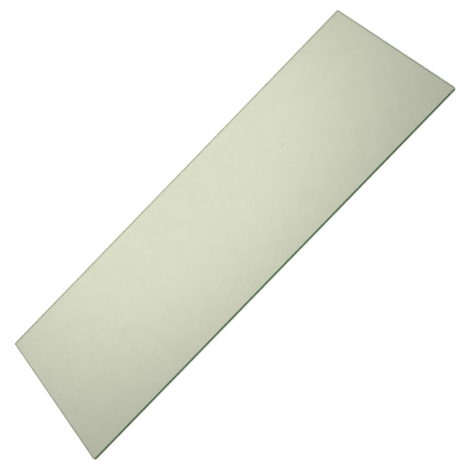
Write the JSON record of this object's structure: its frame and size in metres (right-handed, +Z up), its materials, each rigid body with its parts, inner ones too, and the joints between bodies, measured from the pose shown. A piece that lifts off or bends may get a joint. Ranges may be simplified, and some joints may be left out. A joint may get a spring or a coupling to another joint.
{
  "type": "refrigerator shelf",
  "caption": "Flat rectangular sheet of clear toughened glass with ground edges and small rounded corners; lies on a refrigerator's side ledges and carries food.",
  "frame": {"origin": "middle of the underside, the face that lies on the cabinet's ledges", "axes": "+X along the shelf from wall to wall, -Y towards the front edge, +Z up through the top face"},
  "size_m": [0.44, 0.15, 0.004],
  "materials": {
    "float_glass": "clear float glass with a faint grey-green body colour, fire-polished faces and satin ground edges"
  },
  "bodies": {
    "root": {"glass_shelf": "float_glass"}
  },
  "joints": []
}
